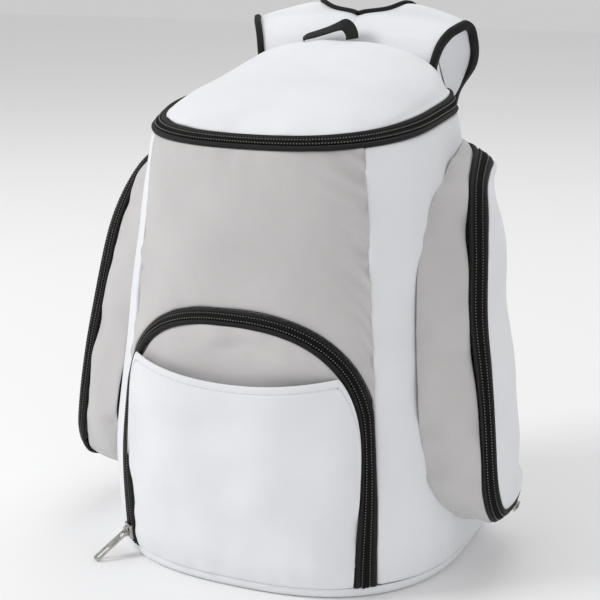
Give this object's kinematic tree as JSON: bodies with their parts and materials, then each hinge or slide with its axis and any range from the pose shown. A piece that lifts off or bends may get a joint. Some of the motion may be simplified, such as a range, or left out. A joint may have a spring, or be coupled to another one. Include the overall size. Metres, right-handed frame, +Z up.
{
  "type": "cooler backpack",
  "caption": "Insulated cooler backpack with a padded zip lid, an arched zip pocket with an open slip pocket on its face, bulging side pockets, shoulder straps and a haul loop.",
  "frame": {"origin": "on the floor under the base, midway between the sides and on the line of the body's widest place from front to back", "axes": "+Z up, +Y towards the back panel and the wearer, +X to the right as the front is seen; the front with the arched pocket faces -Y"},
  "size_m": [0.4102, 0.3223, 0.4678],
  "materials": {
    "white_polyester": "matte woven",
    "grey_nylon": "smooth nylon, low sheen",
    "black_tape": "woven tape",
    "zip_coil": "satin nylon coil",
    "black_plastic": "fine matte",
    "nickel": "satin nickel plate"
  },
  "bodies": {
    "bag": {"base_panel": "white_polyester", "front_panel": "grey_nylon", "side_panel_left": "white_polyester", "side_panel_right": "white_polyester", "back_panel": "white_polyester", "lid_panel": "white_polyester", "lid_zip_tape": "black_tape", "lid_zip_coil": "zip_coil", "lid_zip_slider": "nickel", "front_pocket_face": "grey_nylon", "slip_pocket": "white_polyester", "slip_pocket_hem": "white_polyester", "pocket_back_wall": "white_polyester", "front_zip_tape": "black_tape", "front_zip_coil": "zip_coil", "front_zip_slider": "nickel", "side_pocket_gusset_left": "grey_nylon", "side_zip_tape_left": "black_tape", "side_pocket_panel_left": "white_polyester", "side_zip_coil_left": "zip_coil", "side_zip_slider_left": "nickel", "side_pocket_gusset_right": "grey_nylon", "side_zip_tape_right": "black_tape", "side_pocket_panel_right": "white_polyester", "side_zip_coil_right": "zip_coil", "side_zip_slider_right": "nickel", "shoulder_strap_left": "white_polyester", "strap_binding_outer_left": "black_tape", "strap_binding_inner_left": "black_tape", "strap_adjuster_left": "black_plastic", "strap_webbing_left": "black_tape", "shoulder_strap_right": "white_polyester", "strap_binding_outer_right": "black_tape", "strap_binding_inner_right": "black_tape", "strap_adjuster_right": "black_plastic", "strap_webbing_right": "black_tape", "haul_loop": "black_tape"},
    "puller": {"front_zip_puller": "nickel"}
  },
  "joints": [
    {"name": "puller_swing", "type": "hinge", "parent": "bag", "child": "puller", "pos_m": [-0.11289, -0.12829, 0.02186], "axis": [0.8098, -0.5847, -0.0489], "range_deg": [-112, 58]}
  ]
}
